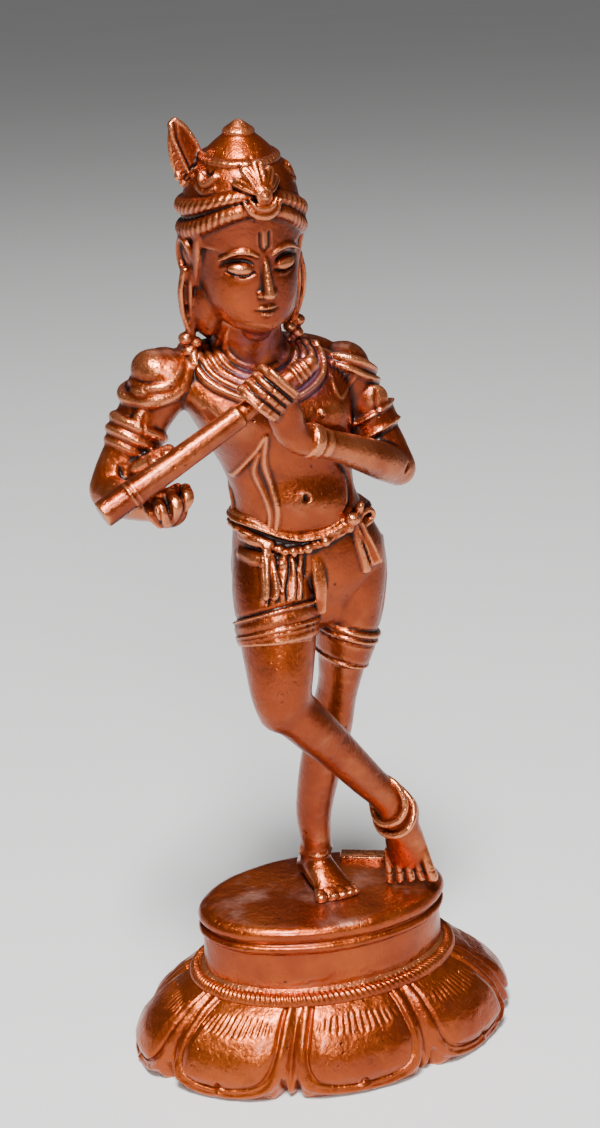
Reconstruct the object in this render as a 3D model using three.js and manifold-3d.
// A small cast metal statue: a flute player standing with crossed legs on an oval lotus plinth.
// Millimetres, +Z up. The origin is at the centre of the plinth's underside and the figure faces -Y,
// so the figure's own right is at -X.
//
// The figure is one casting and the plinth is another, and the figure's soles sit on the plinth's top.
// The figure's pose is given as shares of its own height: one unit is a hundredth of it, x and y are
// measured from the plinth's centre and z from the soles.

import * as THREE from "three";
import { LoftGeometry } from "three/addons/geometries/LoftGeometry.js";
import { mergeVertices } from "three/addons/utils/BufferGeometryUtils.js";
import Module from "manifold-3d";

// The figure
const FIGURE_HEIGHT = 148.5;
const UNIT = FIGURE_HEIGHT / 100;

// The plinth, from its underside up
const PLINTH_HEIGHT = 31.5;
const BASE_WIDTH = 76;
const BASE_DEPTH = 48;
const DRUM_WIDTH = 48;
const DRUM_DEPTH = 29.5;
const SKIRT_HEIGHT = 16.5;
const ROPE_WIDTH = 54;
const ROPE_DEPTH = 35.5;
const PETALS = 8;
const LEDGE_LENGTH = 9.5;
const LEDGE_DEPTH = 3.4;
const LEDGE_HEIGHT = 1.2;
const LEDGE_LEFT = 11.6;
const LEDGE_BACK = 8.6;

// Colours and finish
const BRONZE = { color: 0xa8481a, roughness: 0.34, metalness: 0.85 };
const DARK_BRONZE = { color: 0x9a3f16, roughness: 0.38, metalness: 0.85 };

const FRONT = new THREE.Vector3(0, -1, 0);
const UP = new THREE.Vector3(0, 0, 1);
const SIDES = 10;
const ROUND_SIDES = 36;

const wasm = await Module();
wasm.setup();

const vec = (p) => new THREE.Vector3(p[0], p[1], p[2]);
const rad = THREE.MathUtils.degToRad;

/** A closed geometry as a manifold solid. */
function solidOf(geometry) {
  const bare = new THREE.BufferGeometry();
  bare.setAttribute("position", geometry.attributes.position);
  bare.setIndex(geometry.index);
  const merged = mergeVertices(bare, 1e-5);
  return new wasm.Manifold(
    new wasm.Mesh({
      numProp: 3,
      vertProperties: merged.attributes.position.array,
      triVerts: new Uint32Array(merged.index.array),
    }),
  );
}

/** Joins solids into one. */
function union(solids) {
  return solids.reduce((all, next) => all.add(next));
}

/** A manifold solid as a mesh with a name and a finish. */
function meshOf(name, solid, finish) {
  const made = solid.getMesh();
  const geometry = new THREE.BufferGeometry();
  geometry.setAttribute("position", new THREE.BufferAttribute(made.vertProperties, 3));
  geometry.setIndex(new THREE.BufferAttribute(made.triVerts, 1));
  geometry.computeVertexNormals();
  const mesh = new THREE.Mesh(geometry, new THREE.MeshStandardMaterial(finish));
  mesh.name = name;
  return mesh;
}

/**
 * A long rounded form, such as a limb. Each station is [x, y, z, half width, half depth]; the depth runs
 * towards `front`, and a place along the form is counted in stations, so 1.5 is halfway from the second
 * station to the third. Angles round it are in degrees, with 90 facing front. A `power` over 2 squares
 * the section and `level` keeps the sections horizontal. Each swell is a soft bulge in the skin, given as
 * [place, angle, height, reach along, reach round].
 */
class Form {
  constructor(stations, { front = FRONT, power = 2, level = false, swells = [] } = {}) {
    this.last = stations.length - 1;
    this.path = new THREE.CatmullRomCurve3(stations.map(vec), false, "catmullrom", 0.5);
    this.sizes = new THREE.CatmullRomCurve3(
      stations.map((s) => new THREE.Vector3(s[3], s[4] ?? s[3], 0)),
      false,
      "catmullrom",
      0.5,
    );
    this.front = front;
    this.power = power;
    this.level = level;
    this.swells = swells;
  }

  /** The centre, directions and half sizes at a place. */
  frame(place) {
    const t = THREE.MathUtils.clamp(place / this.last, 0, 1);
    const along = this.level ? UP.clone() : this.path.getTangent(t);
    const side = new THREE.Vector3().crossVectors(along, this.front).normalize();
    const depth = new THREE.Vector3().crossVectors(side, along).normalize();
    const size = this.sizes.getPoint(t);
    return { centre: this.path.getPoint(t), along, side, depth, width: size.x, thick: size.y };
  }

  /** The height of the swells at a place and angle. */
  swell(place, angle) {
    let height = 0;
    for (const [at, turn, size, reach, spread] of this.swells) {
      const off = ((((angle - turn) % 360) + 540) % 360) - 180;
      height += size * Math.exp(-(((place - at) / reach) ** 2) - (off / spread) ** 2);
    }
    return height;
  }

  /** A point on the form's skin; `proud` lifts it off the skin. */
  skin(place, angle, proud = 0, shrink = 1) {
    const f = this.frame(place);
    const squash = (v) => Math.sign(v) * Math.abs(v) ** (2 / this.power);
    const lift = proud + this.swell(place, angle);
    const c = squash(Math.cos(rad(angle))) * (f.width * shrink + lift);
    const s = squash(Math.sin(rad(angle))) * (f.thick * shrink + lift);
    return f.centre.clone().addScaledVector(f.side, c).addScaledVector(f.depth, s);
  }

  /**
   * The closed solid; `domes` rounds its first and last end, or leaves it flat. Each band is a ridge
   * round it, given as [from, to, height, dip, lean]: dip moves it along the form at the front, and lean
   * at angle 0.
   */
  solid({ rings = 5, sides = SIDES, domes = [false, true], bands = [] } = {}) {
    const sections = [];
    const ring = (place, { lift = 0, dip = 0, lean = 0, shrink = 1, slide = 0 } = {}) => {
      const along = this.frame(place).along;
      const points = [];
      for (let j = 0; j < sides; j++) {
        const angle = (-360 * j) / sides;
        const at = place + dip * Math.sin(rad(angle)) + lean * Math.cos(rad(angle));
        points.push(this.skin(at, angle, lift, shrink).addScaledVector(along, slide));
      }
      sections.push(points);
    };
    const dome = (place, sign) => {
      const f = this.frame(place);
      const reach = 0.9 * Math.min(f.width, f.thick);
      const steep = rad(52);
      ring(place, { shrink: Math.cos(steep), slide: sign * reach * Math.sin(steep) });
    };
    const rows = [];
    for (let i = 0; i <= rings; i++) {
      const place = (this.last * i) / rings;
      let gap = 1;
      let tilt = {};
      for (const [from, to, , dip = 0, lean = 0] of bands) {
        const room = Math.max(from - place, place - to);
        if (room < gap) {
          gap = room;
          tilt = { dip: dip * (1 - gap), lean: lean * (1 - gap) };
        }
      }
      if (gap > 0.15) rows.push([place, tilt]);
    }
    for (const [from, to, lift, dip = 0, lean = 0] of bands) {
      rows.push([from, { dip, lean }], [(from + to) / 2, { lift, dip, lean }], [to, { dip, lean }]);
    }
    rows.sort((p, q) => p[0] - q[0]);
    if (domes[0]) dome(0, -1);
    for (const [place, shape] of rows) ring(place, shape);
    if (domes[1]) dome(this.last, 1);
    return solidOf(new LoftGeometry(sections, { capStart: true, capEnd: true }));
  }

  /** A strip laid on the skin through [place, angle] points. */
  strip(route, halfWidth, halfThick, { rings = 2, lift = 0, sides = 4 } = {}) {
    const [place, angle] = route[Math.floor(route.length / 2)];
    const out = this.skin(place, angle, 1).sub(this.skin(place, angle)).normalize();
    const stations = route.map(([at, turn]) => [...this.skin(at, turn, lift).toArray(), halfWidth, halfThick]);
    return new Form(stations, { front: out }).solid({ rings, sides, domes: [true, true] });
  }
}

/** An egg-shaped solid, turned by degrees about its own centre. */
function egg(at, radii, turn = [0, 0, 0], detail = 6) {
  const ball = new THREE.SphereGeometry(1, detail, Math.ceil(detail * 0.75));
  ball.rotateX(Math.PI / 2);
  ball.scale(radii[0], radii[1], radii[2]);
  const [x, y, z] = turn.map(rad);
  ball.applyMatrix4(new THREE.Matrix4().makeRotationFromEuler(new THREE.Euler(x, y, z, "ZYX")));
  ball.translate(at[0], at[1], at[2]);
  return solidOf(ball);
}

/** A rounded bar through stations of [x, y, z, half width, half depth]. */
function bar(stations, { rings = 2, sides = 4, front = FRONT, domes = [false, true] } = {}) {
  return new Form(stations, { front }).solid({ rings, sides, domes });
}

/** A turned solid from a profile of [radius, z], which starts and ends on the axis. */
function turned(profile, segments, depthShare = 1) {
  const lathe = new THREE.LatheGeometry(
    profile.map(([r, z]) => new THREE.Vector2(r, z)),
    segments,
  );
  lathe.rotateX(Math.PI / 2);
  lathe.scale(1, depthShare, 1);
  return solidOf(lathe);
}

// Trunk and limbs

const torso = new Form(
  [
    [-0.6, 0.4, 40.6, 7.2, 4.4],
    [-0.6, 0.4, 44.0, 9.4, 5.8],
    [-0.6, 0.3, 47.5, 9.4, 5.9],
    [-1.4, 0.0, 51.0, 8.5, 5.3],
    [-2.4, -0.3, 54.8, 7.5, 4.8],
    [-3.2, -0.4, 58.5, 7.9, 5.0],
    [-4.4, -0.6, 62.5, 8.8, 5.6],
    [-5.6, -0.6, 66.5, 9.9, 5.9],
    [-6.6, -0.3, 69.6, 11.0, 5.2],
    [-7.2, 0.0, 71.8, 9.4, 4.2],
    [-7.5, -0.8, 73.6, 4.6, 3.3],
  ],
  {
    power: 2.3,
    level: true,
    swells: [
      [6.7, 55, 1.3, 1.0, 30],
      [6.7, 125, 1.3, 1.0, 30],
      [4.2, 90, 0.9, 1.1, 40],
      [1.5, 245, 1.9, 1.2, 30],
      [1.5, 295, 1.9, 1.2, 30],
    ],
  },
);
const WAISTBAND = [3.28, 3.62, 0.8, -0.52];
const BELT = [2.82, 3.2, 0.7, -0.52];
const COLLAR = [
  [8.35, 8.75, 0.75, -0.95],
  [8.9, 9.25, 0.55, -0.6],
];
const neck = new Form([
  [-7.4, 0.2, 70.5, 4.8, 4.6],
  [-7.8, -0.4, 74.5, 4.3, 4.4],
  [-8.3, -2.0, 78.0, 4.0, 4.0],
  [-8.6, -2.8, 81.0, 4.0, 4.0],
]);
const rightUpperArm = new Form([
  [-17.4, 0.2, 70.4, 3.8, 4.2],
  [-20.0, 0.0, 66.8, 3.3, 3.4],
  [-22.2, -0.4, 63.0, 2.9, 2.9],
  [-24.2, -1.0, 59.8, 2.7, 2.7],
  [-25.4, -1.8, 58.0, 2.5, 2.5],
]);
const rightForearm = new Form(
  [
    [-25.5, -1.6, 57.9, 2.5, 2.5],
    [-24.6, -4.8, 57.8, 2.3, 2.3],
    [-23.2, -7.6, 57.8, 2.0, 2.0],
    [-21.8, -9.6, 57.8, 1.7, 1.7],
  ],
  { front: UP },
);
const leftUpperArm = new Form([
  [4.0, 0.4, 69.4, 3.6, 4.0],
  [5.8, 0.2, 66.0, 3.2, 3.3],
  [7.5, -0.6, 62.4, 2.9, 2.9],
  [9.0, -1.8, 59.2, 2.7, 2.7],
  [10.1, -3.0, 57.2, 2.3, 2.3],
]);
const leftForearm = new Form([
  [10.2, -3.0, 57.1, 2.2, 2.2],
  [6.9, -5.2, 59.1, 2.3, 2.3],
  [2.5, -7.6, 61.4, 1.9, 1.9],
  [-1.6, -9.4, 63.2, 1.6, 1.6],
  [-3.6, -10.2, 64.1, 1.5, 1.5],
]);
const rightThigh = new Form([
  [-5.6, 0.0, 47.5, 4.6, 5.2],
  [-6.1, -2.2, 43.0, 4.9, 5.4],
  [-6.2, -4.2, 38.2, 4.7, 4.8],
  [-6.5, -5.8, 33.4, 4.1, 4.2],
  [-6.6, -6.6, 30.4, 3.6, 3.5],
  [-6.5, -6.6, 28.9, 3.2, 3.0],
]);
const rightShin = new Form([
  [-6.6, -6.5, 29.6, 2.9, 3.0],
  [-3.2, -6.0, 26.5, 3.0, 3.0],
  [0.8, -5.2, 21.9, 2.6, 2.7],
  [4.6, -4.4, 17.3, 2.3, 2.4],
  [7.6, -4.0, 13.8, 2.3, 2.4],
  [9.1, -3.8, 11.2, 2.4, 2.4],
]);
const leftThigh = new Form([
  [4.4, 1.0, 47.5, 4.8, 5.2],
  [4.8, 0.8, 43.0, 4.7, 5.4],
  [4.6, 0.6, 38.0, 4.1, 4.8],
  [3.6, 0.6, 32.0, 3.0, 3.7],
  [2.9, 0.8, 27.0, 2.5, 3.0],
]);
const leftShin = new Form([
  [2.9, 0.8, 27.6, 2.6, 3.0],
  [2.1, 1.6, 22.4, 2.8, 3.2],
  [0.8, 2.2, 16.2, 2.7, 2.8],
  [-0.1, 2.8, 10.2, 2.4, 2.3],
  [-0.3, 3.0, 4.6, 2.2, 2.3],
]);

function trunkAndLimbs() {
  return [
    torso.solid({ rings: 10, sides: 14, domes: [true, false], bands: [BELT, WAISTBAND, ...COLLAR] }),
    neck.solid({ rings: 1, domes: [false, false] }),
    egg([-7.2, 1.2, 71.6], [11.2, 3.6, 3.0], [0, 0, 0], 8),
    rightUpperArm.solid({ rings: 4, sides: 8, domes: [true, true], bands: RIGHT_ARMBANDS }),
    rightForearm.solid({ rings: 2, sides: 8 }),
    leftUpperArm.solid({ rings: 4, sides: 8, domes: [true, true], bands: LEFT_ARMBANDS }),
    leftForearm.solid({ rings: 3, sides: 8, domes: [true, true], bands: [BRACELET] }),
    rightThigh.solid({ rings: 5, bands: RIGHT_HEMS }),
    rightShin.solid({ rings: 4, bands: ANKLET }),
    leftThigh.solid({ rings: 4, domes: [false, false], bands: LEFT_HEMS }),
    leftShin.solid({ rings: 4 }),
  ];
}

// Bands, as ridges round the limbs that they sit on

const RIGHT_ARMBANDS = [
  [0.5, 1.0, 1.0, 0.12],
  [1.45, 1.8, 0.5],
  [1.9, 2.25, 0.5],
];
const LEFT_ARMBANDS = [
  [0.35, 0.8, 0.7, -0.1],
  [1.7, 2.2, 0.5],
];
const BRACELET = [3.3, 3.75, 0.5];
const RIGHT_HEMS = [
  [1.5, 1.85, 0.45, 0, 0.12],
  [1.92, 2.2, 0.4, 0, 0.12],
];
const LEFT_HEMS = [
  [2.2, 2.5, 0.5, 0, -0.1],
  [2.6, 3.0, 0.5, 0, -0.1],
];
const ANKLET = [
  [4.2, 4.45, 0.5, 0.12],
  [4.5, 4.75, 0.5, 0.12],
];

// The head and crown are made upright about the head's centre, then tilted into place.

const HEAD_AT = [-8.6, -3.6, 85.0];
const HEAD_TURN = [8, -3, 6];

const skull = new Form(
  [
    [0, -3.2, -8.1, 1.5, 1.7],
    [0, -2.3, -7.0, 3.4, 3.9],
    [0, -1.2, -5.0, 4.8, 5.3],
    [0, -0.5, -2.2, 5.7, 6.1],
    [0, 0.0, 0.8, 6.0, 6.5],
    [0, 0.1, 3.4, 6.0, 6.6],
    [0, 0.1, 5.8, 5.6, 6.1],
  ],
  { power: 2.15, level: true, swells: [[0.6, 90, 0.8, 0.6, 24]] },
);

function face() {
  const parts = [skull.solid({ rings: 6, sides: 12, domes: [true, false] })];
  parts.push(bar([[0, -6.2, 0.9, 0.45, 0.5], [0, -7.0, -1.8, 0.6, 0.6], [0, -7.3, -3.2, 0.9, 0.75]], { sides: 5 }));
  parts.push(egg([0, -6.1, -4.9], [1.5, 0.8, 0.6]));
  for (const side of [-1, 1]) {
    parts.push(egg([2.5 * side, -5.6, -0.2], [1.5, 0.7, 0.75], [0, -6 * side, 18 * side]));
    parts.push(
      bar([
        [0.7 * side, -6.5, 1.2, 0.35, 0.4],
        [2.5 * side, -6.1, 1.8, 0.4, 0.4],
        [4.5 * side, -4.7, 1.1, 0.3, 0.4],
      ]),
    );
  }
  return parts;
}

function hairAndEars() {
  const parts = [egg([0, 2.6, -1.2], [6.6, 5.6, 8.0], [0, 0, 0], 8)];
  for (const side of [-1, 1]) {
    parts.push(
      bar(
        [
          [6.1 * side, 0.6, 1.6, 0.8, 1.2],
          [6.6 * side, 0.6, -0.6, 0.9, 1.7],
          [6.7 * side, 0.8, -4.6, 0.6, 0.9],
          [6.2 * side, 0.9, -9.0, 0.6, 1.0],
          [5.7 * side, 1.6, -11.6, 1.0, 1.4],
        ],
        { rings: 4 },
      ),
    );
  }
  return parts;
}

const cap = new Form(
  [
    [0, 0.4, 2.0, 6.7, 7.0],
    [0, 0.4, 6.6, 6.5, 6.7],
    [0, 0.4, 9.4, 5.1, 5.2],
    [0, 0.4, 10.8, 4.6, 4.8],
    [0, 0.4, 11.9, 3.4, 3.5],
    [0, 0.4, 13.3, 1.3, 1.3],
  ],
  { level: true },
);
const CAP_BANDS = [
  [0.06, 0.4, 0.6, 0.56],
  [0.62, 1.02, 0.75, 0.75],
  [2.5, 3.0, 0.5],
];

function crown() {
  const parts = [cap.solid({ rings: 5, sides: 12, domes: [false, false], bands: CAP_BANDS })];
  const finial = [
    [0, 12.8],
    [1.2, 13.2],
    [2.1, 13.5],
    [0.9, 14.3],
    [0, 14.85],
  ];
  parts.push(turned(finial, 8).translate([0, 0.4, 0]));
  parts.push(egg([-0.3, -6.7, 8.0], [1.0, 0.9, 1.0]));
  parts.push(
    bar(
      [
        [-2.5, -6.6, 7.1, 0.4, 0.6],
        [-1.4, -7.3, 5.8, 0.5, 0.6],
        [0.8, -7.3, 5.8, 0.5, 0.6],
        [1.9, -6.6, 7.1, 0.4, 0.6],
      ],
      { rings: 3 },
    ),
  );
  for (let i = -2; i <= 2; i++) {
    const lean = rad(30 * i);
    const reach = 4.2 - 0.2 * Math.abs(i);
    const foot = [-0.3 + 0.7 * Math.sin(lean), -6.7, 8.0 + 0.7 * Math.cos(lean), 0.35, 0.6];
    const tip = [-0.3 + reach * Math.sin(lean), -5.0 + 0.1 * i * i, 7.8 + reach * Math.cos(lean), 0.8, 0.6];
    parts.push(bar([foot, tip], { rings: 1, sides: 4 }));
  }
  return parts;
}

function feather() {
  const at = [-5.9, 2.4, 11.2];
  const turn = [-12, -14, 0];
  return [egg(at, [1.9, 0.6, 4.4], turn, 8)];
}

function head() {
  const upright = union([...face(), ...hairAndEars(), ...crown(), ...feather()]);
  return upright.rotate(HEAD_TURN).translate(HEAD_AT);
}

// The flute and the hands

const flute = new Form([
  [-28.7, -14.0, 58.9, 1.6, 1.6],
  [-20.0, -13.2, 63.7, 1.5, 1.5],
  [-11.5, -12.2, 68.5, 1.35, 1.35],
  [-3.2, -11.2, 73.1, 1.15, 1.15],
]);

const FLUTE_RINGS = [
  [2.74, 2.8, 0.2],
  [2.86, 2.92, 0.2],
];

function fluteAndHands() {
  const parts = [flute.solid({ rings: 1, domes: [false, false], bands: FLUTE_RINGS })];
  parts.push(
    bar(
      [
        [-3.2, -10.0, 63.9, 1.5, 1.3],
        [-4.6, -11.0, 65.2, 1.9, 1.2],
        [-6.0, -12.0, 67.0, 2.1, 1.2],
        [-6.7, -12.6, 68.0, 2.0, 1.1],
      ],
      { sides: 8 },
    ),
  );
  for (let i = 0; i < 4; i++) {
    const slip = i * 1.05;
    parts.push(
      bar(
        [
          [-7.6 + slip, -12.4, 66.2 + 0.6 * slip, 0.55, 0.6],
          [-9.8 + slip, -14.1, 68.8 + 0.6 * slip, 0.6, 0.6],
          [-11.9 + slip, -12.6, 71.0 + 0.5 * slip, 0.5, 0.5],
        ],
        { sides: 4 },
      ),
    );
  }
  parts.push(egg([-20.6, -10.6, 57.4], [2.6, 1.9, 2.3], [0, 20, 0]));
  for (let i = 0; i < 4; i++) {
    parts.push(
      bar(
        [
          [-22.3 + 0.95 * i, -11.6, 55.8 + 0.1 * i, 0.6, 0.6],
          [-21.9 + 0.95 * i, -12.6, 57.4 + 0.25 * i, 0.65, 0.65],
          [-21.4 + 0.95 * i, -12.0, 59.4 + 0.4 * i, 0.55, 0.55],
        ],
        { sides: 4 },
      ),
    );
  }
  return parts;
}

// Feet

function feet() {
  const parts = [];
  parts.push(
    bar(
      [
        [-0.4, 4.4, 1.5, 1.8, 1.6],
        [-0.1, 2.4, 1.9, 1.9, 1.9],
        [0.3, 0.2, 1.5, 2.1, 1.6],
        [0.8, -1.8, 0.9, 2.5, 1.1],
        [1.0, -2.9, 0.6, 2.5, 0.8],
      ],
      { rings: 4, sides: 8, front: UP, domes: [true, true] },
    ),
  );
  for (let i = 0; i < 5; i++) {
    const size = i === 0 ? 0.85 : 0.56;
    const across = i === 0 ? -1.2 : -0.1 + 1.02 * i;
    parts.push(
      bar(
        [
          [across * 0.9, -2.2 + 0.12 * i, 0.6, size, size],
          [across, -3.9 + 0.26 * i, 0.5, size, size * 0.9],
        ],
        { rings: 1, sides: 4, front: UP },
      ),
    );
  }
  const instep = new THREE.Vector3(-0.6, -0.8, 0);
  parts.push(
    bar(
      [
        [8.9, -3.8, 11.6, 2.2, 2.2],
        [9.2, -3.5, 8.6, 2.2, 2.3],
        [9.9, -3.1, 5.4, 2.6, 1.8],
        [10.8, -3.3, 2.6, 3.0, 1.2],
        [11.1, -3.5, 1.4, 3.0, 0.9],
      ],
      { rings: 4, sides: 8, front: instep },
    ),
  );
  for (let i = 0; i < 5; i++) {
    const size = i === 4 ? 0.8 : 0.52;
    parts.push(
      bar(
        [
          [8.6 + 1.0 * i, -1.7 - 0.72 * i, 2.4 + 0.3 * i, size, size],
          [8.6 + 1.18 * i, -2.2 - 0.85 * i, 0.7 + 0.32 * i, size, size],
        ],
        { rings: 1, sides: 4 },
      ),
    );
  }
  return parts;
}

// Dress and ornaments

function dress() {
  const parts = [
    egg([3.4, -5.0, 52.2], [1.2, 1.0, 1.1]),
    bar([[4.2, -4.8, 51.8, 0.6, 0.5], [5.6, -4.9, 48.6, 0.7, 0.5], [6.6, -4.9, 46.0, 0.9, 0.5]]),
    bar([[3.8, -5.0, 51.0, 0.5, 0.5], [4.4, -5.4, 48.0, 0.5, 0.4], [5.0, -5.4, 45.6, 0.6, 0.4]]),
    bar([[-7.6, -5.8, 49.6, 0.6, 0.6], [-7.7, -7.3, 46.8, 0.8, 0.7], [-7.7, -7.9, 44.4, 1.1, 0.7]]),
    bar([[-1.6, -5.6, 48.4, 0.8, 0.7], [-1.2, -6.4, 44.6, 1.0, 0.8], [-1.0, -6.2, 41.0, 0.8, 0.7]]),
    egg([-9.6, -2.4, 50.6], [1.3, 2.6, 1.0]),
    egg([-9.7, -2.4, 48.4], [1.3, 2.6, 1.0]),
  ];
  for (const angle of [66, 84, 102]) {
    parts.push(
      rightThigh.strip([[0.3, angle], [0.9, angle], [1.4, angle - 4]], 0.55, 0.4, { lift: 0.1 }),
    );
  }
  return parts;
}

function ornaments() {
  const parts = [];
  for (const shift of [0, 11]) {
    parts.push(
      torso.strip([[7.0, 96 + shift], [5.4, 104 + shift], [3.6, 106 + shift]], 0.5, 0.4),
    );
  }
  parts.push(
    bar([[0.6, -3.0, 73.0, 0.6, 0.6], [4.6, -4.0, 70.8, 0.8, 0.7], [8.0, -2.0, 68.2, 0.7, 0.7]]),
    bar([[1.2, -4.4, 72.6, 0.5, 0.5], [2.0, -5.2, 69.4, 0.6, 0.6], [3.2, -4.6, 65.6, 0.5, 0.5]]),
    egg([-20.4, -3.2, 65.2], [1.4, 0.9, 2.4], [0, 10, 0]),
    egg([-20.2, -3.6, 61.0], [2.9, 1.2, 1.0], [0, -8, 0]),
    egg([7.0, -3.2, 65.8], [1.9, 0.8, 2.2], [0, 20, 0]),
  );
  return parts;
}

const figure = union([
  ...trunkAndLimbs(),
  head(),
  ...fluteAndHands(),
  ...feet(),
  ...dress(),
  ...ornaments(),
])
  .trimByPlane([0, 0, 1], 0)
  .scale([UNIT, UNIT, UNIT])
  .translate([0, 0, PLINTH_HEIGHT]);

// The plinth: a skirt of lotus petals, a rope moulding and a drum with a rolled rim

const PETAL_ANGLE = 360 / PETALS;
const PETAL_SWELL = 0.6;
const SEAM_DEPTH = 1.5;
const FOOT_NOTCH = 1.2;
const BASE_SHARE = BASE_DEPTH / BASE_WIDTH;
const ROPE_SHARE = ROPE_DEPTH / ROPE_WIDTH;
const DRUM_SHARE = DRUM_DEPTH / DRUM_WIDTH;

// The skirt's outline from its foot to the rope, as shares of the base's half width and of its own height
const SKIRT = [
  [0.965, 0],
  [0.995, 0.1],
  [1, 0.22],
  [0.985, 0.38],
  [0.945, 0.56],
  [0.87, 0.74],
  [0.785, 0.9],
  [0.69, 1.02],
];

/** How far the skirt stands out at an angle, given the share of the way up from its foot. */
function petalRelief(angle, rise) {
  const across = (((angle + 90) % PETAL_ANGLE) + PETAL_ANGLE) % PETAL_ANGLE;
  const share = Math.abs(across > PETAL_ANGLE / 2 ? across - PETAL_ANGLE : across) / (PETAL_ANGLE / 2);
  const dome = PETAL_SWELL * Math.cos((share * Math.PI) / 2);
  const seam = SEAM_DEPTH * Math.max(0, (share - 0.7) / 0.3);
  return (dome - seam) * (1 - rise ** 3) - FOOT_NOTCH * share ** 3 * Math.max(0, 1 - rise / 0.3);
}

function plinthSkirt() {
  const around = PETALS * 8;
  const reach = BASE_WIDTH / 2 - PETAL_SWELL;
  const sections = SKIRT.map(([out, rise]) => {
    const share = BASE_SHARE + (ROPE_SHARE - BASE_SHARE) * rise;
    const points = [];
    for (let j = 0; j < around; j++) {
      const angle = (360 * j) / around;
      const r = reach * out + petalRelief(angle, rise);
      const x = r * Math.cos(rad(angle));
      const y = r * share * Math.sin(rad(angle));
      points.push(new THREE.Vector3(x, y, rise * SKIRT_HEIGHT));
    }
    return points;
  });
  return solidOf(new LoftGeometry(sections, { capStart: true, capEnd: true }));
}

/** The rope moulding, a rounded ring between the skirt and the drum. */
function rope() {
  const r = ROPE_WIDTH / 2;
  const z = SKIRT_HEIGHT;
  const profile = [
    [0, z - 0.9],
    [r, z - 0.6],
    [r, z + 0.7],
    [r - 0.7, z + 1.5],
    [0, z + 1.5],
  ];
  return turned(profile, ROUND_SIDES, ROPE_SHARE);
}

/** The drum, with a thin fillet, a groove and a rolled rim at its top. */
function drum() {
  const r = DRUM_WIDTH / 2;
  const z = PLINTH_HEIGHT;
  const profile = [
    [0, SKIRT_HEIGHT],
    [r + 0.3, SKIRT_HEIGHT],
    [r, SKIRT_HEIGHT + 2.2],
    [r - 0.1, z - 3.5],
    [r + 0.6, z - 3.1],
    [r + 0.6, z - 2.6],
    [r - 0.1, z - 2.3],
    [r + 0.2, z - 1.2],
    [r - 0.5, z - 0.3],
    [r - 1.7, z],
    [0, z],
  ];
  return turned(profile, ROUND_SIDES, DRUM_SHARE);
}

/** The low bar left standing on the plinth's top behind the crossed foot. */
function ledge() {
  const block = new THREE.BoxGeometry(LEDGE_LENGTH, LEDGE_DEPTH, 2 * LEDGE_HEIGHT);
  block.rotateZ(rad(-22));
  block.translate(LEDGE_LEFT, LEDGE_BACK, PLINTH_HEIGHT);
  return solidOf(block);
}

const statue = new THREE.Group();
statue.add(meshOf("krishna_figure", figure, BRONZE));
statue.add(meshOf("lotus_plinth", union([plinthSkirt(), rope(), drum(), ledge()]), DARK_BRONZE));

export default statue;
